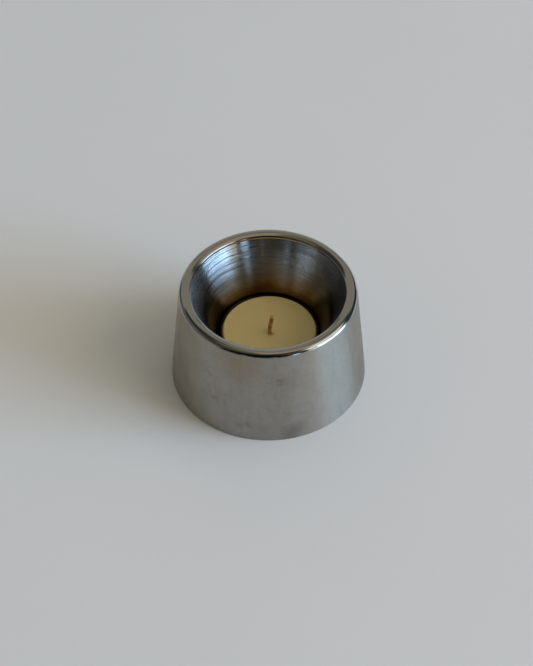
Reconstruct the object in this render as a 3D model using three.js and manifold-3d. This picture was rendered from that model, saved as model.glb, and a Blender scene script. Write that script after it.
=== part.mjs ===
// Stainless steel tealight holder, in millimetres with +Z up.
// The origin is the centre of the underside. A conical shell with a bullnose rim carries a
// brushed bowl, and a tealight stands in the bowl's pocket and lifts straight out.
import * as THREE from "three";
import { mergeVertices } from "three/addons/utils/BufferGeometryUtils.js";
import Module from "manifold-3d";

const wasm = await Module();
wasm.setup();

// Shell
const baseDiameter = 77.6;
const topDiameter = 69.4;
const shellSheet = 1.0;
const edgeLift = 0.2;

// Rim, turned over from the shell's own sheet
const rimWidth = 4.6;
const rimOuterRound = 1.95;
const rimCrown = 0.35;
const rimCrownRound = 6;
const rimInnerRound = 0.8;
const lipDrop = 0.9;

// Bowl
const bowlDepth = 22.2;
const bowlSheet = 0.8;
const pocketClearance = 0.8;
const pocketEdgeRound = 2.0;
const pocketFloorRound = 1.2;
const seamGap = 0.2;
const flangeRound = 0.3;
const flangeGap = 0.3;

// Base plate and pad
const plateSheet = 0.8;
const plateFlange = 4.5;
const plateCornerRound = 1.6;
const plateGap = 0.3;
const floorSpace = 2.4;
const padThickness = 1.5;
const padInset = 0.7;
const padGap = 0.2;

// Tealight
const waxDiameter = 37.2;
const waxChamfer = 0.5;
const waxFloorRound = 0.9;
const waxProud = 0.1;
const waxGap = 0.2;
const cupHeight = 16;
const cupSheet = 0.25;
const cupBead = 0.45;
const cupBeadDrop = 0.6;
const cupBeadRound = 0.2;
const cupFloorRound = 1.0;
const cupSeatGap = 0.3;
const cupPlay = 0.5;

// Wick and its sustainer; the wick's points count from where it leaves the wax
const wickDiameter = 1.6;
const wickGap = 0.25;
const wickBase = new THREE.Vector2(0.75, -2.6);
const wickStraight = 0.3;
const wickKink = new THREE.Vector3(-0.6, 0.9, 1.5);
const wickMiddle = new THREE.Vector3(-0.2, 1.3, 4.6);
const wickTip = new THREE.Vector3(0.4, 1.6, 8.3);
const sustainerDiameter = 13;
const sustainerSheet = 0.25;
const neckHeight = 3;
const neckRound = 0.4;

// Facets
const holderFacets = 64;
const candleFacets = 40;
const wickFacets = 10;
const wickSteps = 22;
const chordError = 0.02;
const cutOver = 1;

// Levels, from the surface that the holder stands on up to its rim
const plateFloor = padThickness + padGap;
const pocketFloor = plateFloor + plateSheet + floorSpace + bowlSheet;
const cupFloor = pocketFloor + cupSeatGap;
const pocketMouth = cupFloor + cupHeight;
const height = pocketMouth + bowlDepth;
const rimShoulder = height - rimCrown;
const lipEnd = rimShoulder - lipDrop;
const waxFloor = cupFloor + cupSheet + waxGap;
const waxTop = pocketMouth + waxProud;
const neckTop = waxFloor + neckHeight;

// Radii that follow from what stands inside what
const cupWall = waxDiameter / 2 + waxGap;
const cupRadius = cupWall + cupSheet + cupBead;
const pocketRadius = cupRadius + pocketClearance;
const openingRadius = topDiameter / 2 - rimWidth;
const candleShift = pocketClearance * cupPlay;
const wickBore = wickDiameter / 2 + wickGap;

// A corner of a turned outline: its distance from the axis, its height and its round.
function corner(r, z, round = 0) {
  return { point: new THREE.Vector2(r, z), round };
}

// The unit direction from one corner to the next.
function heading(from, to) {
  return to.point.clone().sub(from.point).normalize();
}

// The direction that lies to the left of another.
function leftOf(direction) {
  return new THREE.Vector2(-direction.y, direction.x);
}

// One rounded corner as the points of an arc that touches both of its sides.
function arc(before, here, after) {
  const arriving = heading(before, here);
  const leaving = heading(here, after);
  const turn = Math.atan2(arriving.cross(leaving), arriving.dot(leaving));
  const slope = Math.tan(Math.abs(turn) / 2);
  const sides = [before, after].map((next) => here.point.distanceTo(next.point));
  const reach = Math.min(here.round * slope, Math.min(...sides) / 2);
  const start = here.point.clone().addScaledVector(arriving, -reach);
  const centre = start.clone().addScaledVector(leftOf(arriving), (Math.sign(turn) * reach) / slope);
  const step = 2 * Math.acos(1 - Math.min(1, (chordError * slope) / reach));
  const steps = Math.max(2, Math.ceil(Math.abs(turn) / step));
  return Array.from({ length: steps + 1 }, (_, i) => start.clone().rotateAround(centre, (turn * i) / steps));
}

// The points of an open outline.
function rounded(corners) {
  return corners.flatMap((here, i) => {
    const open = i === 0 || i === corners.length - 1;
    return open || here.round <= 0 ? [here.point.clone()] : arc(corners[i - 1], here, corners[i + 1]);
  });
}

// The same outline moved to its left, as the second face of a sheet bent along it.
function offset(corners, distance) {
  return corners.map((here, i) => {
    const first = heading(corners[Math.max(i - 1, 0)], corners[Math.max(i, 1)]);
    const last = corners.length - 1;
    const second = heading(corners[Math.min(i, last - 1)], corners[Math.min(i + 1, last)]);
    const bisector = leftOf(first).add(leftOf(second));
    const point = here.point.clone().addScaledVector(bisector, (2 * distance) / bisector.lengthSq());
    const side = Math.sign(first.cross(second));
    return { point, round: here.round > 0 ? Math.max(0, here.round - side * distance) : 0 };
  });
}

// The closed section of a sheet whose one face follows the corners, with its body to their left.
function sheet(corners, thickness) {
  return [...rounded(corners), ...rounded(offset(corners, thickness)).reverse()];
}

// A solid turned about the Z axis from a section that closes on itself or starts and ends on the axis.
function turned(section, facets) {
  const outline = THREE.ShapeUtils.area(section) < 0 ? [...section].reverse() : [...section];
  const touchesAxis = outline[0].x === 0;
  if (!touchesAxis) outline.push(outline[0].clone());
  return new THREE.LatheGeometry(outline, facets).rotateX(Math.PI / 2);
}

// One closed geometry as a solid that can be cut.
function solidOf(geometry) {
  const bare = geometry.clone();
  bare.deleteAttribute("normal");
  bare.deleteAttribute("uv");
  const merged = mergeVertices(bare);
  const vertProperties = new Float32Array(merged.attributes.position.array);
  const triVerts = new Uint32Array(merged.index.array);
  return new wasm.Manifold(new wasm.Mesh({ numProp: 3, vertProperties, triVerts }));
}

// A cut solid as a geometry again.
function geometryOf(solid) {
  const mesh = solid.getMesh();
  const geometry = new THREE.BufferGeometry();
  geometry.setAttribute("position", new THREE.BufferAttribute(mesh.vertProperties, 3));
  geometry.setIndex(new THREE.BufferAttribute(mesh.triVerts, 1));
  geometry.computeVertexNormals();
  return geometry;
}

// The radius of the shell's inner face at a height.
function shellInside(z) {
  const outside = THREE.MathUtils.mapLinear(z, edgeLift, rimShoulder, baseDiameter / 2, topDiameter / 2);
  const lean = Math.atan2(baseDiameter / 2 - topDiameter / 2, rimShoulder - edgeLift);
  return outside - shellSheet / Math.cos(lean);
}

// The shell: up the cone, over the crowned rim and down a short lip.
function outerShell() {
  const rimSlope = Math.atan2(rimCrown, rimWidth / 2);
  const crownPeak = height + rimCrownRound * (1 / Math.cos(rimSlope) - 1);
  return turned(sheet([
    corner(baseDiameter / 2, edgeLift),
    corner(topDiameter / 2, rimShoulder, rimOuterRound),
    corner(topDiameter / 2 - rimWidth / 2, crownPeak, rimCrownRound),
    corner(openingRadius, rimShoulder, rimInnerRound),
    corner(openingRadius, lipEnd),
  ], shellSheet), holderFacets);
}

// The bowl: the pocket, the straight funnel above it and a flange under the shell's lip.
function innerBowl() {
  const flangeTop = lipEnd - seamGap;
  return turned(sheet([
    corner(0, pocketFloor),
    corner(pocketRadius, pocketFloor, pocketFloorRound),
    corner(pocketRadius, pocketMouth, pocketEdgeRound),
    corner(openingRadius, flangeTop, flangeRound),
    corner(shellInside(flangeTop) - flangeGap, flangeTop),
  ], -bowlSheet), holderFacets);
}

// The base plate: a disc whose edge turns up against the inside of the shell.
function basePlate() {
  const flangeTop = plateFloor + plateFlange;
  return turned(sheet([
    corner(0, plateFloor),
    corner(shellInside(plateFloor) - plateGap, plateFloor, plateCornerRound),
    corner(shellInside(flangeTop) - plateGap, flangeTop),
  ], plateSheet), holderFacets);
}

// The pad: a flat disc of foam under the plate, a little smaller than the shell.
function basePad() {
  const radius = shellInside(edgeLift) - padInset;
  return turned(rounded([
    corner(0, 0),
    corner(radius, 0),
    corner(radius, padThickness),
    corner(0, padThickness),
  ]), holderFacets);
}

// The tealight's cup: a thin drawn wall with its edge rolled outward into a bead.
function tealightCup() {
  const wall = cupWall + cupSheet;
  const underBead = pocketMouth - cupSheet;
  return turned(sheet([
    corner(0, cupFloor),
    corner(wall, cupFloor, cupFloorRound),
    corner(wall, underBead, cupBeadRound),
    corner(cupRadius - cupSheet, underBead, cupBeadRound),
    corner(cupRadius - cupSheet, underBead - cupBeadDrop),
  ], cupSheet), candleFacets);
}

// The wax: a pressed puck with a chamfered edge, hollowed below for the sustainer and bored for the wick.
function wax() {
  const radius = waxDiameter / 2;
  const puck = turned(rounded([
    corner(0, waxFloor),
    corner(radius, waxFloor, waxFloorRound),
    corner(radius, waxTop - waxChamfer),
    corner(radius - waxChamfer, waxTop),
    corner(0, waxTop),
  ]), candleFacets);
  const tabTop = waxFloor + sustainerSheet + waxGap;
  const hollow = turned(rounded([
    corner(0, waxFloor - cutOver),
    corner(sustainerDiameter / 2 + waxGap, waxFloor - cutOver),
    corner(sustainerDiameter / 2 + waxGap, tabTop),
    corner(wickBore + sustainerSheet + waxGap, tabTop),
    corner(wickBore + sustainerSheet + waxGap, neckTop + waxGap),
    corner(wickBore, neckTop + waxGap),
    corner(wickBore, waxTop + cutOver),
    corner(0, waxTop + cutOver),
  ]), candleFacets / 2).translate(wickBase.x, wickBase.y, 0);
  return geometryOf(solidOf(puck).subtract(solidOf(hollow)));
}

// The sustainer: a round tab on the cup's floor with a neck drawn up round the wick.
function wickSustainer() {
  const neck = wickBore + sustainerSheet;
  return turned(sheet([
    corner(sustainerDiameter / 2, waxFloor + sustainerSheet),
    corner(neck, waxFloor + sustainerSheet, neckRound),
    corner(neck, neckTop),
  ], sustainerSheet), candleFacets / 2).translate(wickBase.x, wickBase.y, 0);
}

// The wick: straight through the wax, bent where it leaves it, then leaning to its cut tip.
function wick() {
  const foot = new THREE.Vector3(wickBase.x, wickBase.y, waxTop);
  const buried = waxTop - waxFloor;
  const points = [-buried, -buried / 2, -wickStraight].map((z) => new THREE.Vector3(0, 0, z));
  const path = new THREE.CatmullRomCurve3(
    [...points, wickKink, wickMiddle, wickTip].map((point) => point.clone().add(foot)), false, "centripetal");
  const section = new THREE.Shape(Array.from({ length: wickFacets }, (_, i) => new THREE.Vector2(
    wickDiameter / 2, 0).rotateAround(new THREE.Vector2(), (2 * Math.PI * i) / wickFacets)));
  return new THREE.ExtrudeGeometry(section, { steps: wickSteps, extrudePath: path });
}

// A named piece with its own finish.
function piece(name, geometry, color, roughness, metalness) {
  const mesh = new THREE.Mesh(geometry, new THREE.MeshStandardMaterial({ color, roughness, metalness }));
  mesh.name = name;
  return mesh;
}

const holder = new THREE.Group().add(
  piece("outer_shell", outerShell(), "#b9b7b0", 0.22, 1),
  piece("inner_bowl", innerBowl(), "#a9a69f", 0.32, 1),
  piece("base_plate", basePlate(), "#b3b3b0", 0.45, 1),
  piece("base_pad", basePad(), "#1d1d1e", 0.95, 0),
);

// The candle stands a little to one side in its pocket, as it was dropped in.
const tealight = new THREE.Group().add(
  piece("tealight_cup", tealightCup(), "#c9c7c2", 0.35, 1),
  piece("wax", wax(), "#dccfa8", 0.55, 0),
  piece("wick", wick(), "#7d5a26", 0.8, 0),
  piece("wick_sustainer", wickSustainer(), "#b5b5b2", 0.4, 1),
);
tealight.position.x = candleShift;

export default new THREE.Group().add(holder, tealight);
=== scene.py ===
"""The looks of the stainless steel tealight holder, built round its CAD frame.

Every length is in metres, with +Z up, and the camera looks along +Y from above. Angles are in
radians, apart from those of the cards and the lamps, which are in degrees. Azimuths round the
object count from the camera's side towards +X.
"""

import math
from itertools import accumulate, pairwise

import bmesh
import bpy
from mathutils import Matrix, Vector, noise


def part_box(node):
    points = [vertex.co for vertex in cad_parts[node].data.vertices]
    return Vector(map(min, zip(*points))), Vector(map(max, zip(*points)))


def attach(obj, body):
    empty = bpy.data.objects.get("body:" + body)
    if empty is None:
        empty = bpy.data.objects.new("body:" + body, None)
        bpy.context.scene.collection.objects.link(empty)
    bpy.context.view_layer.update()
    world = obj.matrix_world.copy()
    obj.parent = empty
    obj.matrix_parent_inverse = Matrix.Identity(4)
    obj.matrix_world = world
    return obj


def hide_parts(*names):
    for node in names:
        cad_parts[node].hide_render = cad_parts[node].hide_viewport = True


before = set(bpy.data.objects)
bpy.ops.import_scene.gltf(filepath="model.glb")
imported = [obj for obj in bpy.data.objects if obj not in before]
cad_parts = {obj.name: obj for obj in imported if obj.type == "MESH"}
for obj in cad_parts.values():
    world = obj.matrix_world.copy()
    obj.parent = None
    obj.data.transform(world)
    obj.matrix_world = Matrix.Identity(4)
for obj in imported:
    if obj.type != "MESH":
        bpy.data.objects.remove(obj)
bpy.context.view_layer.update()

# Camera: an image 533 by 666 pixels, seen from this far at this height angle
image_height = 666
focal_pixels = 2000
film_height = 0.036
camera_distance = 0.806123
camera_elevation = math.radians(46.94)
camera_aside = -0.000719
camera_above = 0.013607
camera_roll = math.radians(-0.3117)

# Shell and rim
shell_sheet = 0.0010
top_radius = 0.0347
rim_width = 0.0046
rim_outer_round = 0.00195
rim_crown = 0.00035
rim_crown_round = 0.006
rim_inner_round = 0.0008
lip_gap = 0.00003
# Polish: its depth below the top, the lengths it fades over, and the duller lip, out from the opening
polish_depth = 0.0009
polish_blend = 0.00025
crown_blend = 0.0005
lip_start, lip_full = 0.00035, 0.00010

# Bowl
bowl_sheet = 0.0008
pocket_radius = 0.0203
pocket_edge_round = 0.0020
pocket_floor_round = 0.0012
flange_round = 0.00005

# Base plate and pad
plate_sheet = 0.0008
plate_corner_round = 0.0016
pad_edge_round = 0.0003

# Tealight
cup_sheet = 0.00025
cup_bead = 0.00045
cup_bead_drop = 0.0006
cup_bead_round = 0.0002
cup_floor_round = 0.0010
wax_chamfer = 0.0005
wax_chamfer_round = 0.00012
wax_edge_round = 0.0002
wax_floor_round = 0.0009

# The wax's top: it climbs the wick, dips round it and waves a little
wax_climb = 0.00035
wax_climb_reach = 0.0005
wax_dip = 0.00012
wax_dip_reach = 0.004
wax_wave = 0.00003
wax_waves = 300

# Wick and its foot; the wick's points count from where it leaves the wax
wick_radius = 0.0008
wick_base = Vector((0.00075, -0.0026))
wick_path = [(0, 0, -0.0155), (0, 0, -0.0078), (0, 0, -0.0003),
             (-0.0006, 0.0009, 0.0015), (-0.0002, 0.0013, 0.0046), (0.0004, 0.0016, 0.0083)]
wick_strands = 4
wick_pitch = 0.0026
wick_valley = 0.80
wick_swell = 0.22
foot_sheet = 0.00025
foot_neck_radius = 0.0013
foot_neck_round = 0.0004

# Mesh fineness
segments = 256
wick_sides = 48
wick_steps = 24
arc_step = math.radians(6)
longest_step = 0.0015
support_step = 0.00012
sheet_edge_round = 0.00022
sharp_angle = math.radians(32)
# Nearer to the axis, or to a top, than this counts as on it
on_axis = 1e-7
on_top = 1e-6

# Marks on the steel: the middle of each, and how far it reaches
shell_marks = [
    ((-0.02265, -0.02827, 0.0276), 0.0022), ((-0.02095, -0.03082, 0.0166), 0.0024),
    ((-0.01178, -0.03631, 0.0069), 0.0022), ((-0.00827, -0.03717, 0.0078), 0.0026),
    ((0.00487, -0.03558, 0.0310), 0.0030), ((0.00841, -0.03757, 0.0034), 0.0060),
    ((0.01229, -0.03623, 0.0060), 0.0050),
]
wall_film = ((-0.0110, -0.0333, 0.0385), 0.014)
bowl_pit = ((0.01395, 0.02208, 0.03437), 0.0006)
# The far left of the bowl, where it is more deeply scored and a painted highlight lightens the steel
bowl_scoring_and_highlight = ((-0.02000, 0.01780, 0.0360), 0.020)
mark_shake = 0.006

# Heat, scorching, and soot with painted shade deep in the bowl: the heights above the cup's edge where each
# starts and is full
heat_start, heat_full = 0.013, 0.0
scorch_start, scorch_full = 0.0050, 0.0005
soot_shade_start, soot_shade_full = 0.0015, -0.0065
# Painted shade climbs this much higher at the bowl's left and right, where they lie in shade, and the
# borders of all three wander in a band this wide
side_shade_climb = 0.014
border_wander = 0.006

# Painted shade on the cup's edge, as depths below it, and the warm ring in the wax round the wick
edge_shade_start, edge_shade_full = 0.0022, 0.0007
soaked_reach = 0.0022

# Table
table_radius = 9.0
table_segments = 128


def linear(level):
    """The light that a level from 0 to 1 stands for on a screen."""
    return ((level + 0.055) / 1.055) ** 2.4 if level > 0.04045 else level / 12.92


def srgb(red, green, blue):
    """A colour as a screen shows it, from 0 to 255, as the linear colour that a shader takes."""
    return tuple(linear(value / 255) for value in (red, green, blue))


# Outlines of sheet metal

def corner(radius, height, rounding=0.0):
    """One corner of a turned outline, and the radius that it is rounded with."""
    return Vector((radius, height)), rounding


def left_of(direction):
    return Vector((-direction.y, direction.x))


def turned_by(vector, angle):
    return Matrix.Rotation(angle, 2) @ vector


def arc(before, here, after, rounding):
    """A rounded corner as the points of an arc that touches both of its sides."""
    arriving, leaving = (here - before).normalized(), (after - here).normalized()
    turn = math.atan2(arriving.cross(leaving), arriving.dot(leaving))
    slope = math.tan(abs(turn) / 2)
    reach = min(rounding * slope, (here - before).length / 2, (after - here).length / 2)
    start = here - arriving * reach
    centre = start + left_of(arriving) * math.copysign(reach / slope, turn)
    steps = max(3, math.ceil(abs(turn) / arc_step))
    return [centre + turned_by(start - centre, turn * i / steps) for i in range(steps + 1)]


def rounded(corners):
    """The points of a closed outline with its corners rounded."""
    points = []
    for i, (here, rounding) in enumerate(corners):
        before, after = corners[i - 1][0], corners[(i + 1) % len(corners)][0]
        points += arc(before, here, after, rounding) if rounding > 0 else [here]
    return points


def offset(corners, distance):
    """The same open outline moved to its left, as the other face of a sheet."""
    moved = []
    last = len(corners) - 1
    for i, (here, rounding) in enumerate(corners):
        a, b = max(i - 1, 0), min(i, last - 1)
        first = (corners[a + 1][0] - corners[a][0]).normalized()
        second = (corners[b + 1][0] - corners[b][0]).normalized()
        bisector = left_of(first) + left_of(second)
        side = math.copysign(1, first.cross(second))
        moved.append((here + bisector * (2 * distance / bisector.length_squared),
                      max(0.0, rounding - side * distance) if rounding > 0 else 0.0))
    return moved


def sheet(corners, thickness, edge_round=sheet_edge_round):
    """The closed section of a bent sheet, with the cut edges that lie off the axis broken."""
    widest_round = abs(thickness) * 0.45
    faces = [list(corners), offset(corners, thickness)]
    for face in faces:
        for end in (0, -1):
            point, _ = face[end]
            if point.x > 0:
                face[end] = (point, min(edge_round, widest_round))
    return rounded(faces[0] + faces[1][::-1])


def stepped(points):
    """The closed outline again, with its long straight runs cut into short ones."""
    result = []
    for i, start in enumerate(points):
        end = points[(i + 1) % len(points)]
        result.append(start)
        length = (end - start).length
        if length > 4 * support_step and max(start.x, end.x) > 0:
            run = length - 2 * support_step
            count = max(1, math.ceil(run / longest_step))
            shares = [(support_step + run * k / count) / length for k in range(count + 1)]
            result += [start.lerp(end, share) for share in shares]
    return result


# Meshes

def ring(mesh, radius, height):
    """One circle of vertices about the axis, or a single vertex on it."""
    if radius < on_axis:
        return [mesh.verts.new((0, 0, height))]
    angles = [2 * math.pi * i / segments for i in range(segments)]
    return [mesh.verts.new((radius * math.cos(a), radius * math.sin(a), height)) for a in angles]


def band(mesh, layer, lower, upper, low, high):
    """The faces between two rings. Low and high are their places along the outline, for the texture map."""
    if len(lower) == 1 and len(upper) == 1:
        return
    for i in range(segments):
        near, far = i / segments, (i + 1) / segments
        k = (i + 1) % segments
        loop = [(lower[i % len(lower)], near, low), (lower[k % len(lower)], far, low),
                (upper[k % len(upper)], far, high), (upper[i % len(upper)], near, high)]
        if len(lower) == 1:
            del loop[1]
        if len(upper) == 1:
            del loop[3]
        face = mesh.faces.new([vertex for vertex, _, _ in loop])
        for corner_loop, (_, u, v) in zip(face.loops, loop):
            corner_loop[layer].uv = (u, v)


def turned(name, outline, centre=(0, 0)):
    """A piece turned about an upright axis through centre, from a closed outline of (radius, height)."""
    points = stepped(outline)
    mesh = bmesh.new()
    layer = mesh.loops.layers.uv.new("map")
    rings = [ring(mesh, point.x, point.y) for point in points]
    lengths = [(points[(i + 1) % len(points)] - point).length for i, point in enumerate(points)]
    total, along = sum(lengths), 0.0
    for i, length in enumerate(lengths):
        band(mesh, layer, rings[i], rings[(i + 1) % len(rings)], along / total, (along + length) / total)
        along += length
    bmesh.ops.translate(mesh, vec=(*centre, 0), verts=mesh.verts)
    return finished(name, mesh)


def finished(name, mesh):
    """The mesh as an object, smooth but for its sharp edges, with its faces turned outward."""
    bmesh.ops.recalc_face_normals(mesh, faces=mesh.faces)
    for face in mesh.faces:
        face.smooth = True
    for edge in mesh.edges:
        edge.smooth = len(edge.link_faces) == 2 and edge.calc_face_angle() < sharp_angle
    data = bpy.data.meshes.new(name)
    mesh.to_mesh(data)
    mesh.free()
    return placed(name, data)


def placed(name, data):
    """A new object in the scene with this mesh, lamp or camera."""
    made = bpy.data.objects.new(name, data)
    bpy.context.scene.collection.objects.link(made)
    return made


def dressed(piece, node, body, material):
    """Gives a piece its material and its body, and lets it stand for its CAD node."""
    piece.data.materials.append(material)
    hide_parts(node)
    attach(piece, body)
    return piece


def middle_of(node):
    """Where the axis of a turned node stands."""
    low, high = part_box(node)
    return Vector(((low.x + high.x) / 2, (low.y + high.y) / 2))


def radius_of(node):
    low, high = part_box(node)
    return (high.x - low.x) / 2


# Shader nodes

class Nodes:
    """A node tree with short calls for the nodes that the materials and the world share."""

    def __init__(self, tree):
        self.tree = tree
        tree.nodes.clear()

    def put(self, made, key, value):
        """Sets one input of a node, or links it to the output that gives its value."""
        if isinstance(value, bpy.types.NodeSocket):
            self.tree.links.new(value, made.inputs[key])
        else:
            made.inputs[key].default_value = value

    def add(self, kind, inputs=(), output=0, **settings):
        """Adds a node, sets or links its inputs, and returns one of its outputs."""
        made = self.tree.nodes.new("ShaderNode" + kind)
        for name, value in settings.items():
            setattr(made, name, value)
        for key, value in dict(inputs).items():
            self.put(made, key, value)
        return made.outputs[output] if len(made.outputs) else made

    def math(self, operation, a, b=0.0):
        return self.add("Math", {0: a, 1: b}, operation=operation)

    def times(self, a, b):
        return self.math("MULTIPLY", a, b)

    def plus(self, a, b):
        return self.math("ADD", a, b)

    def ramp(self, value, start, end, low=0.0, high=1.0, kind="SMOOTHSTEP"):
        """A value that runs from low at start to high at end."""
        return self.add("MapRange", {0: value, 1: start, 2: end, 3: low, 4: high}, interpolation_type=kind)

    def blend(self, share, a, b):
        """Number a, and b in its place by a share."""
        return self.ramp(share, 0.0, 1.0, a, b, kind="LINEAR")

    def mix(self, share, a, b):
        """Colour a, and b in its place by a share."""
        made = self.tree.nodes.new("ShaderNodeMix")
        made.data_type = "RGBA"
        self.put(made, 0, share)
        for key, value in ((6, a), (7, b)):
            self.put(made, key, value if isinstance(value, bpy.types.NodeSocket) else (*value, 1.0))
        return made.outputs[2]

    def vectors(self, operation, a, b, output=0):
        return self.add("VectorMath", {0: a, 1: b}, output, operation=operation)

    def place(self):
        """Where a point lies on the piece, in metres."""
        return self.add("TexCoord", output="Object")

    def direction(self):
        """The way that a ray of the world looks."""
        return self.add("TexCoord", output="Generated")

    def axes(self, vector):
        made = self.tree.nodes.new("ShaderNodeSeparateXYZ")
        self.tree.links.new(vector, made.inputs[0])
        return made.outputs

    def radius(self, vector):
        """How far a point lies from the upright axis."""
        x, y, _ = self.axes(vector)
        return self.math("SQRT", self.plus(self.times(x, x), self.times(y, y)))

    def stretched(self, vector, scale):
        """The vector with each axis scaled by itself."""
        return self.vectors("MULTIPLY", vector, scale)

    def noise(self, vector, scale, detail=2.0, roughness=0.5, output=0):
        """Soft noise. Its scale counts the features for each unit of the vector, a metre in a place."""
        inputs = {"Vector": vector, "Scale": scale, "Detail": detail, "Roughness": roughness}
        return self.add("TexNoise", inputs, output)

    def round_axis(self, place, along, around, axis=(0.0, 0.0)):
        """Coordinates for a texture that runs round an upright axis: so many features for each metre up
        or away from the axis, and for each radius of the way round it."""
        away = self.vectors("SUBTRACT", place, (*axis, 0.0))
        x, y, z = self.axes(away)
        radius = self.radius(away)
        outward = self.times(self.plus(radius, z), along)
        return self.add("CombineXYZ", {0: outward, 1: self.times(self.math("DIVIDE", x, radius), around),
                                       2: self.times(self.math("DIVIDE", y, radius), around)})

    def spot(self, place, centre, reach):
        """A soft round mark that fades out at a distance from its centre."""
        return self.ramp(self.vectors("DISTANCE", place, centre, "Value"), reach, 0.0)

    def bump(self, height, strength, distance, under=None):
        inputs = {"Strength": strength, "Distance": distance, "Height": height}
        if under is not None:
            inputs["Normal"] = under
        return self.add("Bump", inputs)

    def brushed_round(self, amount):
        """Shader inputs for metal that is brushed round its upright axis: its gloss runs up and down."""
        return {"Anisotropic": amount, "Anisotropic Rotation": 0.25,
                "Tangent": self.add("Tangent", direction_type="RADIAL", axis="Z")}

    def surface(self, inputs):
        """The one shader of a material, joined to its output."""
        shader = self.add("BsdfPrincipled", inputs)
        self.add("OutputMaterial", {"Surface": shader})


def material(name):
    made = bpy.data.materials.new(name)
    made.use_nodes = True
    return made, Nodes(made.node_tree)


# Materials

def satin_colour(nodes, place, dull, marks):
    """The wall's colour: dull clouds, wiped smears, fine specks, a warm film and handling marks."""
    clean = nodes.mix(nodes.times(dull, 0.4), srgb(182, 177, 169), srgb(168, 161, 151))
    smears = nodes.noise(nodes.stretched(place, (1.0, 1.0, 0.25)), 260.0, 3.0, 0.6)
    wiped = nodes.mix(nodes.ramp(smears, 0.45, 0.70, 0.0, 0.22), clean, srgb(150, 138, 122))
    specks = nodes.noise(place, 1500.0, 3.0, 0.7)
    specked = nodes.mix(nodes.ramp(specks, 0.55, 0.75, 0.0, 0.35), wiped, srgb(132, 122, 110))
    filmed = nodes.mix(nodes.times(nodes.spot(place, *wall_film), 0.6), specked, srgb(165, 145, 118))
    return nodes.mix(nodes.times(marks, 0.3), filmed, srgb(140, 124, 108))


def handling_marks(nodes, place):
    """How much of a handling mark there is at a point. Noise shakes the marks' edges."""
    wander = nodes.vectors("SUBTRACT", nodes.noise(place, 420.0, 3.0, output="Color"), (0.5, 0.5, 0.5))
    shaken = nodes.vectors("ADD", place, nodes.stretched(wander, (mark_shake,) * 3))
    marks = 0.0
    for centre, reach in shell_marks:
        marks = nodes.plus(nodes.spot(shaken, centre, reach), marks)
    return marks


def satin_steel():
    """The shell: fine satin on the wall, a mirror polish over the rim, and a duller one down its lip."""
    made, nodes = material("satin_steel")
    place = nodes.place()
    _, _, z = nodes.axes(place)
    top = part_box("outer_shell")[1].z
    radius = nodes.radius(place)
    crown = top_radius - rim_width / 2
    opening = top_radius - rim_width
    above = nodes.ramp(z, top - polish_depth - polish_blend, top - polish_depth + polish_blend)
    inside = nodes.ramp(radius, crown, crown - crown_blend)
    polished = nodes.math("MAXIMUM", above, inside)
    lip = nodes.ramp(radius, opening + lip_start, opening + lip_full)
    cloud = nodes.noise(place, 130.0, 3.0, 0.6)
    mottle = nodes.noise(place, 620.0, 4.0, 0.7)
    dull = nodes.ramp(nodes.plus(nodes.times(cloud, 0.5), nodes.times(mottle, 0.5)), 0.42, 0.62)
    marks = handling_marks(nodes, place)
    bright = nodes.mix(lip, srgb(208, 207, 203), srgb(190, 184, 172))
    colour = nodes.mix(polished, satin_colour(nodes, place, dull, marks), bright)
    wall_roughness = nodes.plus(nodes.times(dull, 0.03), nodes.plus(nodes.times(marks, 0.08), 0.355))
    roughness = nodes.blend(polished, wall_roughness, nodes.blend(lip, 0.05, 0.12))
    grain = nodes.noise(nodes.stretched(place, (1.0, 1.0, 2.5)), 5200.0)
    nodes.surface({"Base Color": colour, "Metallic": 1.0, "Roughness": roughness,
                   "Normal": nodes.bump(grain, 0.12, 0.00002), **nodes.brushed_round(0.89)})
    return made


def heated(nodes, place, steel):
    """The bowl's steel with a brown tint of heat, soot and painted shade on it, and how scorched it is."""
    x, _, z = nodes.axes(place)
    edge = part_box("tealight_cup")[1].z
    cloud = nodes.noise(place, 110.0, 3.0, 0.6)
    height = nodes.plus(nodes.times(nodes.plus(cloud, -0.5), border_wander), z)
    heat = nodes.ramp(height, edge + heat_start, edge + heat_full)
    scorch = nodes.ramp(height, edge + scorch_start, edge + scorch_full)
    warm = nodes.mix(heat, steel, srgb(170, 130, 70))
    brown = nodes.mix(nodes.times(scorch, 0.92), warm, srgb(114, 82, 40))
    # Painted shade climbs higher up the funnel on its left and right, as the camera sees them
    aside = nodes.math("ABSOLUTE", nodes.math("DIVIDE", x, nodes.radius(place)))
    climb = nodes.ramp(aside, 0.70, 1.0, 0.0, side_shade_climb)
    # Soot and painted shade: near black deep in the bowl, reaching higher at its sides
    soot_and_shade = nodes.ramp(nodes.plus(height, nodes.times(climb, -1.0)), edge + soot_shade_start, edge + soot_shade_full)
    return nodes.mix(nodes.times(soot_and_shade, 0.85), brown, srgb(26, 16, 9)), scorch


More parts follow.
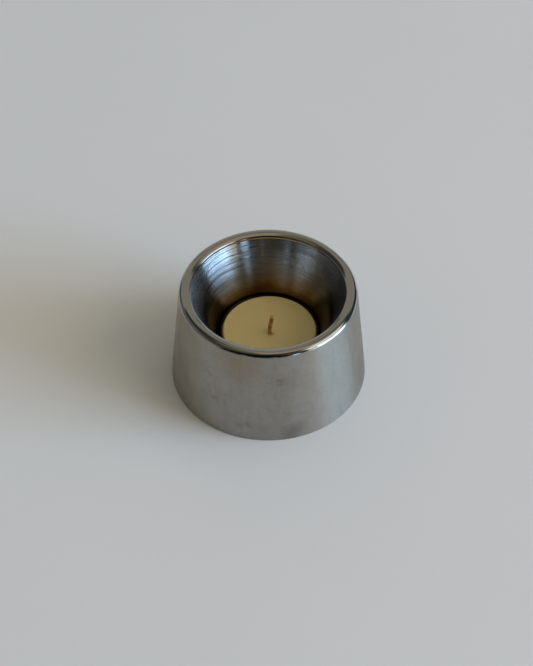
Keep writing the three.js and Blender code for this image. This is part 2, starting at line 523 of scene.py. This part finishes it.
def turned_steel():
    """The bowl: fine rings from the lathe, more deeply scored on one side, where a painted highlight also
    lightens the steel, a tint of heat that deepens towards the candle, soot and painted shade by the
    candle, and one pit."""
    made, nodes = material("turned_steel")
    place = nodes.place()
    fine = nodes.noise(nodes.round_axis(place, 3200.0, 1.2), 1.0, 3.0, 0.7)
    coarse = nodes.noise(nodes.round_axis(place, 2000.0, 1.0), 1.0, 2.0, 0.6)
    grooves = nodes.ramp(coarse, 0.49, 0.58)
    scored_and_highlit_side = nodes.spot(place, *bowl_scoring_and_highlight)
    depth = nodes.ramp(scored_and_highlit_side, 0.0, 0.5, 0.20, 0.68)
    # Painted highlight: paler steel where the window's reflection falls on the far left
    painted_highlight = nodes.ramp(scored_and_highlit_side, 0.0, 0.5, 0.05, 0.75)
    bare = nodes.mix(nodes.ramp(fine, 0.35, 0.65), srgb(210, 210, 210), srgb(170, 169, 167))
    highlighted_steel = nodes.mix(painted_highlight, bare, srgb(240, 240, 240))
    scored = nodes.mix(nodes.times(grooves, depth), highlighted_steel, srgb(92, 90, 88))
    sooty_and_shaded, scorch = heated(nodes, place, scored)
    colour = nodes.mix(nodes.spot(place, *bowl_pit), sooty_and_shaded, srgb(20, 18, 16))
    roughness = nodes.plus(nodes.times(scorch, 0.02), nodes.plus(nodes.times(grooves, 0.03), 0.195))
    lines = nodes.plus(nodes.times(fine, 0.42), nodes.times(grooves, -0.4))
    nodes.surface({"Base Color": colour, "Metallic": 1.0, "Roughness": roughness,
                   "Normal": nodes.bump(lines, 0.6, 0.00004), **nodes.brushed_round(1.0)})
    return made


def rolled_steel(name, colour):
    """Plain sheet from the mill, with faint lines along one way and clouds of tarnish."""
    made, nodes = material(name)
    place = nodes.place()
    lines = nodes.noise(nodes.stretched(place, (1.0, 0.04, 1.0)), 3500.0)
    cloud = nodes.noise(place, 160.0, 4.0, 0.6)
    tarnish = tuple(0.55 * level for level in colour)
    tone = nodes.mix(nodes.times(cloud, 0.4), colour, tarnish)
    roughness = nodes.plus(nodes.times(lines, 0.06), nodes.plus(nodes.times(cloud, 0.12), 0.34))
    nodes.surface({"Base Color": tone, "Metallic": 1.0, "Roughness": roughness,
                   "Normal": nodes.bump(lines, 0.2, 0.00002)})
    return made


def cup_foil():
    """Drawn aluminium: up and down draw marks on the wall, a soft sheen and an edge darkened by painted
    shade.
    """
    made, nodes = material("cup_foil")
    place = nodes.place()
    draw = nodes.round_axis(place, 60.0, 60.0, middle_of("tealight_cup"))
    marks = nodes.noise(draw, 1.0, 3.0, 0.6)
    dents = nodes.noise(place, 260.0)
    foil = nodes.mix(nodes.times(marks, 0.35), srgb(206, 205, 203), srgb(170, 167, 162))
    _, _, z = nodes.axes(place)
    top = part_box("tealight_cup")[1].z
    # Painted shade: the rolled edge darkened to near black, as it lies in shade deep in the bowl
    edge_shade = nodes.ramp(z, top - edge_shade_start, top - edge_shade_full)
    colour = nodes.mix(edge_shade, foil, srgb(66, 44, 30))
    roughness = nodes.plus(nodes.times(edge_shade, 0.25), nodes.plus(nodes.times(marks, 0.12), 0.10))
    normal = nodes.bump(dents, 0.3, 0.0003, nodes.bump(marks, 0.2, 0.00003))
    nodes.surface({"Base Color": colour, "Metallic": 1.0, "Roughness": roughness, "Normal": normal})
    return made


def foam():
    """Black foam with open pores."""
    made, nodes = material("pad_foam")
    place = nodes.place()
    pores = nodes.add("TexVoronoi", {"Vector": place, "Scale": 2600.0})
    cloud = nodes.noise(place, 300.0, 3.0)
    colour = nodes.mix(nodes.times(cloud, 0.6), srgb(30, 30, 31), srgb(48, 47, 47))
    nodes.surface({"Base Color": colour, "Roughness": 0.95, "Specular IOR Level": 0.25,
                   "Normal": nodes.bump(pores, 0.7, 0.0002)})
    return made


def ivory_wax():
    """Pressed ivory wax, which lets light in a little way, with scuffs and a warmer ring at the wick."""
    made, nodes = material("pressed_wax")
    place = nodes.place()
    centre = middle_of("tealight_cup")
    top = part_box("wax")[1].z
    foot = (centre.x + wick_base.x, centre.y + wick_base.y, top)
    cloud = nodes.noise(place, 190.0, 3.0, 0.55)
    grain = nodes.noise(place, 1800.0, 3.0, 0.6)
    scuff_lines = nodes.noise(nodes.stretched(place, (1.0, 0.12, 1.0)), 900.0, 3.0, 0.7)
    scuffs = nodes.ramp(scuff_lines, 0.60, 0.70)
    tone = nodes.mix(nodes.times(cloud, 0.5), srgb(204, 187, 134), srgb(194, 175, 121))
    soaked = nodes.mix(nodes.times(nodes.spot(place, foot, soaked_reach), 0.5), tone, srgb(150, 108, 54))
    colour = nodes.mix(nodes.times(scuffs, 0.12), soaked, srgb(208, 196, 156))
    roughness = nodes.plus(nodes.times(cloud, 0.12), 0.42)
    height = nodes.plus(nodes.times(grain, 0.4), nodes.times(scuffs, 0.5))
    nodes.surface({"Base Color": colour, "Roughness": roughness, "Specular IOR Level": 0.4,
                   "Subsurface Weight": 0.35, "Subsurface Radius": (1.0, 0.62, 0.28),
                   "Subsurface Scale": 0.0016, "Normal": nodes.bump(height, 0.15, 0.00008)})
    return made


def waxed_cotton():
    """Braided cotton soaked with wax: brown between the strands and paler on them."""
    made, nodes = material("waxed_braid")
    place = nodes.place()
    fibres = nodes.noise(nodes.stretched(place, (1.0, 1.0, 0.25)), 5200.0, 3.0, 0.6)
    cloud = nodes.noise(place, 900.0)
    light = nodes.ramp(nodes.plus(nodes.times(fibres, 0.5), nodes.times(cloud, 0.5)), 0.40, 0.62)
    colour = nodes.mix(light, srgb(140, 100, 44), srgb(204, 164, 94))
    nodes.surface({"Base Color": colour, "Roughness": 0.45, "Subsurface Weight": 0.15,
                   "Subsurface Radius": (1.0, 0.5, 0.2), "Subsurface Scale": 0.0006,
                   "Normal": nodes.bump(fibres, 0.5, 0.00006)})
    return made


def table_paint():
    """The pale painted table: nearly even, with a fine grain."""
    made, nodes = material("table_paint")
    place = nodes.place()
    grain = nodes.noise(place, 1400.0, 3.0, 0.6)
    cloud = nodes.noise(place, 9.0)
    uneven = nodes.plus(nodes.times(grain, 0.5), nodes.times(cloud, 0.5))
    colour = nodes.mix(uneven, srgb(201, 203, 205), srgb(207, 209, 211))
    nodes.surface({"Base Color": colour, "Roughness": 0.7, "Specular IOR Level": 0.2,
                   "Normal": nodes.bump(grain, 0.1, 0.0001)})
    return made


# Pieces

def steel_shell():
    """Up the cone, over the crowned rim and down a short lip."""
    low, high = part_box("outer_shell")
    shoulder = high.z - rim_crown
    opening = top_radius - rim_width
    slope = math.atan2(rim_crown, rim_width / 2)
    peak = high.z + rim_crown_round * (1 / math.cos(slope) - 1)
    outline = sheet([
        corner(high.x, low.z),
        corner(top_radius, shoulder, rim_outer_round),
        corner(top_radius - rim_width / 2, peak, rim_crown_round),
        corner(opening, shoulder, rim_inner_round),
        corner(opening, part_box("inner_bowl")[1].z + lip_gap),
    ], shell_sheet, 0.0)
    return dressed(turned("steel_shell", outline), "outer_shell", "holder", satin_steel())


def steel_bowl():
    """The pocket, the straight funnel above it and the flange that tucks under the rim."""
    low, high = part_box("inner_bowl")
    floor = low.z + bowl_sheet
    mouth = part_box("tealight_cup")[1].z
    outline = sheet([
        corner(0, floor),
        corner(pocket_radius, floor, pocket_floor_round),
        corner(pocket_radius, mouth, pocket_edge_round),
        corner(top_radius - rim_width, high.z, flange_round),
        corner(high.x, high.z),
    ], -bowl_sheet)
    return dressed(turned("steel_bowl", outline), "inner_bowl", "holder", turned_steel())


def bottom_plate():
    """A pressed disc whose edge turns up inside the shell."""
    low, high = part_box("base_plate")
    outline = sheet([
        corner(0, low.z),
        corner(high.x, low.z, plate_corner_round),
        corner(high.x, high.z),
    ], plate_sheet)
    plate = turned("bottom_plate", outline)
    steel = rolled_steel("plate_steel", srgb(196, 196, 194))
    return dressed(plate, "base_plate", "holder", steel)


def foam_disc():
    """The pad that the holder stands on, with its edges a little rounded."""
    low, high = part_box("base_pad")
    outline = rounded([corner(0, low.z), corner(high.x, low.z, pad_edge_round),
                       corner(high.x, high.z, pad_edge_round), corner(0, high.z)])
    return dressed(turned("foam_disc", outline), "base_pad", "holder", foam())


def foil_cup():
    """The drawn cup with its edge rolled outward."""
    low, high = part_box("tealight_cup")
    bead = radius_of("tealight_cup") - cup_sheet
    wall = bead + cup_sheet - cup_bead
    outline = sheet([
        corner(0, low.z),
        corner(wall, low.z, cup_floor_round),
        corner(wall, high.z - cup_sheet, cup_bead_round),
        corner(bead, high.z - cup_sheet, cup_bead_round),
        corner(bead, high.z - cup_sheet - cup_bead_drop),
    ], cup_sheet, 0.0)
    cup = turned("foil_cup", outline, middle_of("tealight_cup"))
    return dressed(cup, "tealight_cup", "tealight", cup_foil())


def wax_puck():
    """The pressed wax with its chamfer, drawn up a little where the wick leaves it."""
    low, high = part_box("wax")
    radius = radius_of("wax")
    outline = rounded([
        corner(0, low.z),
        corner(radius, low.z, wax_floor_round),
        corner(radius, high.z - wax_chamfer, wax_chamfer_round),
        corner(radius - wax_chamfer, high.z, wax_edge_round),
        corner(0, high.z),
    ])
    puck = turned("wax_puck", outline, middle_of("wax"))
    foot = middle_of("wax") + wick_base
    for vertex in puck.data.vertices:
        if vertex.co.z > high.z - on_top:
            away = (vertex.co.xy - foot).length
            beside = max(0.0, away - wick_radius)
            climb = wax_climb * math.exp(-(beside / wax_climb_reach) ** 2)
            dip = -wax_dip * math.exp(-(away / wax_dip_reach) ** 2)
            wave = wax_wave * noise.noise(vertex.co * wax_waves)
            vertex.co.z += climb + dip + wave
    return dressed(puck, "wax", "tealight", ivory_wax())


def between(near, far, start, end, here):
    """The point at here on a line that is at near at start and at far at end."""
    return near.lerp(far, (here - start) / (end - start))


def spline(points, steps):
    """A smooth curve through the points, which keeps close to them where they are near each other."""
    ends = [points[0] * 2 - points[1], *points, points[-1] * 2 - points[-2]]
    curve = []
    for a, b, c, d in zip(ends, ends[1:], ends[2:], ends[3:]):
        gaps = [math.sqrt((far - near).length) for near, far in pairwise((a, b, c, d))]
        at_a, at_b, at_c, at_d = accumulate(gaps, initial=0.0)
        for i in range(steps):
            here = at_b + (at_c - at_b) * i / steps
            ab = between(a, b, at_a, at_b, here)
            bc = between(b, c, at_b, at_c, here)
            cd = between(c, d, at_c, at_d, here)
            abc = between(ab, bc, at_a, at_c, here)
            bcd = between(bc, cd, at_b, at_d, here)
            curve.append(between(abc, bcd, at_b, at_c, here))
    return curve + [points[-1]]


def braid_reach(angle, run):
    """How far the braid's surface lies from its line: its strands run round it both ways."""
    twist = math.pi * run / wick_pitch
    one = abs(math.sin(wick_strands * angle / 2 + twist))
    other = abs(math.sin(wick_strands * angle / 2 - twist))
    return wick_radius * (wick_valley + wick_swell * max(one, other))


def braided_wick():
    """Waxed strands plaited round the wick's line, from its foot in the wax to its cut tip."""
    base = middle_of("tealight_cup") + wick_base
    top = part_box("wax")[1].z
    points = [Vector((base.x, base.y, top)) + Vector(point) for point in wick_path]
    line = spline(points, wick_steps)
    mesh = bmesh.new()
    rings, side, run = [], Vector((1, 0, 0)), 0.0
    for i, here in enumerate(line):
        ahead = (line[min(i + 1, len(line) - 1)] - line[max(i - 1, 0)]).normalized()
        side = (side - ahead * side.dot(ahead)).normalized()
        up = ahead.cross(side)
        run += (here - line[i - 1]).length if i else 0.0
        made = []
        for k in range(wick_sides):
            angle = 2 * math.pi * k / wick_sides
            outward = side * math.cos(angle) + up * math.sin(angle)
            made.append(mesh.verts.new(here + outward * braid_reach(angle, run)))
        rings.append(made)
    for lower, upper in pairwise(rings):
        for k in range(wick_sides):
            n = (k + 1) % wick_sides
            mesh.faces.new((lower[k], lower[n], upper[n], upper[k]))
    mesh.faces.new(rings[0])
    mesh.faces.new(rings[-1])
    return dressed(finished("braided_wick", mesh), "wick", "tealight", waxed_cotton())


def wick_foot():
    """The tinned tab under the wax, with its neck drawn up round the wick."""
    low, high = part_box("wick_sustainer")
    outline = sheet([
        corner(radius_of("wick_sustainer"), low.z + foot_sheet),
        corner(foot_neck_radius, low.z + foot_sheet, foot_neck_round),
        corner(foot_neck_radius, high.z),
    ], foot_sheet, 0.0)
    foot = turned("wick_foot", outline, middle_of("wick_sustainer"))
    steel = rolled_steel("tinned_steel", srgb(206, 206, 204))
    return dressed(foot, "wick_sustainer", "tealight", steel)


# Stage

def table():
    """The pale floor, wide enough to fill the picture from any side."""
    mesh = bmesh.new()
    bmesh.ops.create_circle(mesh, cap_ends=True, segments=table_segments, radius=table_radius)
    floor = finished("table_top", mesh)
    floor.data.materials.append(table_paint())


def card(nodes, behind, azimuths, elevations, light, edge):
    """A card in front of what lies behind it, between two azimuths and two elevations. Its light counts
    white paper on the table as 1, and edge is how soft its border is, in degrees like the rest."""
    centre, width = sum(azimuths) / 2, azimuths[1] - azimuths[0]
    level, height = sum(elevations) / 2, elevations[1] - elevations[0]
    facing = nodes.add("VectorRotate", {"Vector": nodes.direction(), "Angle": math.radians(-centre)},
                       rotation_type="Z_AXIS")
    x, y, z = nodes.axes(facing)
    degree = 180 / math.pi
    across = nodes.times(nodes.math("ARCTAN2", x, nodes.times(y, -1.0)), degree)
    up = nodes.times(nodes.math("ARCSINE", z), degree)
    aside = nodes.math("ABSOLUTE", across)
    above = nodes.math("ABSOLUTE", nodes.plus(up, -level))
    share = nodes.times(nodes.ramp(aside, (width + edge) / 2, (width - edge) / 2),
                        nodes.ramp(above, (height + edge) / 2, (height - edge) / 2))
    return nodes.mix(share, behind, light)


def studio():
    """A dim room with one broad window on the right, made of soft cards that the steel mirrors."""
    world = bpy.data.worlds.new("studio")
    bpy.context.scene.world = world
    world.use_nodes = True
    nodes = Nodes(world.node_tree)
    _, _, z = nodes.axes(nodes.direction())
    room = nodes.mix(nodes.ramp(z, 0.2, 0.95), (0.06, 0.08, 0.10), (0.05, 0.045, 0.035))
    # The walls behind and on the left, with their lighter and darker parts
    room = card(nodes, room, (135, 213), (-20, 33), (0.31, 0.31, 0.29), edge=3)
    room = card(nodes, room, (136, 165), (-20, 15), (0.70, 0.80, 0.90), edge=3)
    room = card(nodes, room, (135, 213), (35, 49), (0.24, 0.22, 0.18), edge=2)
    room = card(nodes, room, (160, 186), (52, 67), (0.34, 0.28, 0.20), edge=4)
    room = card(nodes, room, (-134, -88), (-20, 50), (0.11, 0.12, 0.11), edge=8)
    room = card(nodes, room, (-176, -152), (57, 72), (0.14, 0.12, 0.07), edge=5)
    room = card(nodes, room, (-163, -147), (47.5, 60), (0.030, 0.030, 0.026), edge=1.5)
    room = card(nodes, room, (-85, -52), (8, 24), (0.22, 0.19, 0.14), edge=4)
    # The dark side that the camera stands on, and the narrow things that show in it
    room = card(nodes, room, (-56, 23), (-20, 88), (0.006, 0.006, 0.007), edge=7)
    room = card(nodes, room, (-30, -23), (4, 22), (0.19, 0.25, 0.32), edge=1)
    room = card(nodes, room, (6, 9), (-20, 26), (0.21, 0.23, 0.30), edge=1)
    room = card(nodes, room, (9, 20), (-20, 20), (0.07, 0.05, 0.03), edge=2)
    # The dark wall between the window and the back, and the pale strip below it
    room = card(nodes, room, (108, 158), (12, 52), (0.02, 0.04, 0.06), edge=4)
    room = card(nodes, room, (109, 134), (-20, 8), (0.48, 0.53, 0.64), edge=5)
    # The strip beside the window, the frame, and the window from its sill up
    room = card(nodes, room, (27, 35), (-20, 24), (0.90, 1.30, 1.70), edge=1.5)
    room = card(nodes, room, (42, 49), (-20, 12), (1.50, 1.25, 1.05), edge=1.5)
    room = card(nodes, room, (50, 65), (-20, 20), (1.90, 2.30, 2.80), edge=2)
    room = card(nodes, room, (48, 58), (14, 44), (0.64, 0.70, 0.70), edge=2)
    room = card(nodes, room, (58, 95), (5, 28), (2.70, 4.15, 5.90), edge=2)
    room = card(nodes, room, (76, 96), (5, 13), (3.90, 5.90, 8.00), edge=2)
    room = card(nodes, room, (61, 104), (22, 46), (0.95, 1.35, 1.80), edge=2)
    room = card(nodes, room, (54, 90), (47, 53), (1.90, 2.00, 1.75), edge=2)
    room = card(nodes, room, (64, 90), (50, 70), (1.20, 1.15, 0.90), edge=3)
    room = card(nodes, room, (106, 157), (53, 69), (1.10, 1.16, 1.10), edge=3)
    floor = nodes.mix(nodes.ramp(z, -0.01, 0.0), (0.48, 0.49, 0.50), room)
    light = nodes.add("Background", {"Color": floor, "Strength": 1.0})
    nodes.add("OutputWorld", {"Surface": light})


def lamp(name, kind, azimuth, elevation, distance, power, colour):
    """A lamp that faces the object. It lights matt things and stays out of the steel."""
    data = bpy.data.lights.new(name, kind)
    data.energy = power
    data.color = colour
    made = placed(name, data)
    turn, rise = math.radians(azimuth), math.radians(elevation)
    away = Vector((math.sin(turn) * math.cos(rise), -math.cos(turn) * math.cos(rise), math.sin(rise)))
    made.location = away * distance
    made.rotation_euler = away.to_track_quat("Z", "Y").to_euler()
    made.visible_glossy = False
    return data


def panel(name, width, height, **settings):
    """A lamp with a broad flat face."""
    data = lamp(name, "AREA", **settings)
    data.shape = "RECTANGLE"
    data.size, data.size_y = width, height


def lamps():
    """The window's low light, which throws the long soft shadow, a second light above it, and the room's
    even warm light."""
    panel("window_light", 1.6, 0.9, azimuth=76, elevation=15, distance=3.0, power=81.0,
          colour=(0.45, 0.67, 1.0))
    panel("side_light", 2.2, 1.4, azimuth=76, elevation=34, distance=2.0, power=15.0,
          colour=(1.0, 0.62, 0.28))
    room = lamp("room_light", "SUN", azimuth=0, elevation=90, distance=2.0, power=0.98,
                colour=(1.0, 0.92, 0.72))
    room.angle = math.radians(175)


def camera():
    """The photograph's camera, which looks down at the middle of the object and rolls a little."""
    forward = Vector((0, math.cos(camera_elevation), -math.sin(camera_elevation)))
    up = Vector((0, math.sin(camera_elevation), math.cos(camera_elevation)))
    right = Vector((1, 0, 0))
    film_millimetres = film_height * 1000
    data = bpy.data.cameras.new("camera")
    data.lens = focal_pixels * film_millimetres / image_height
    data.sensor_width = film_millimetres
    made = placed("camera", data)
    place = right * camera_aside + up * camera_above - forward * camera_distance
    turn = Matrix((right, up, -forward)).transposed() @ Matrix.Rotation(camera_roll, 3, "Z")
    made.matrix_world = Matrix.Translation(place) @ turn.to_4x4()
    bpy.context.scene.camera = made


camera()
studio()
lamps()
table()
for make in (steel_shell, steel_bowl, bottom_plate, foam_disc, foil_cup, wax_puck, braided_wick, wick_foot):
    make()

bpy.context.scene.view_settings.view_transform = "Standard"
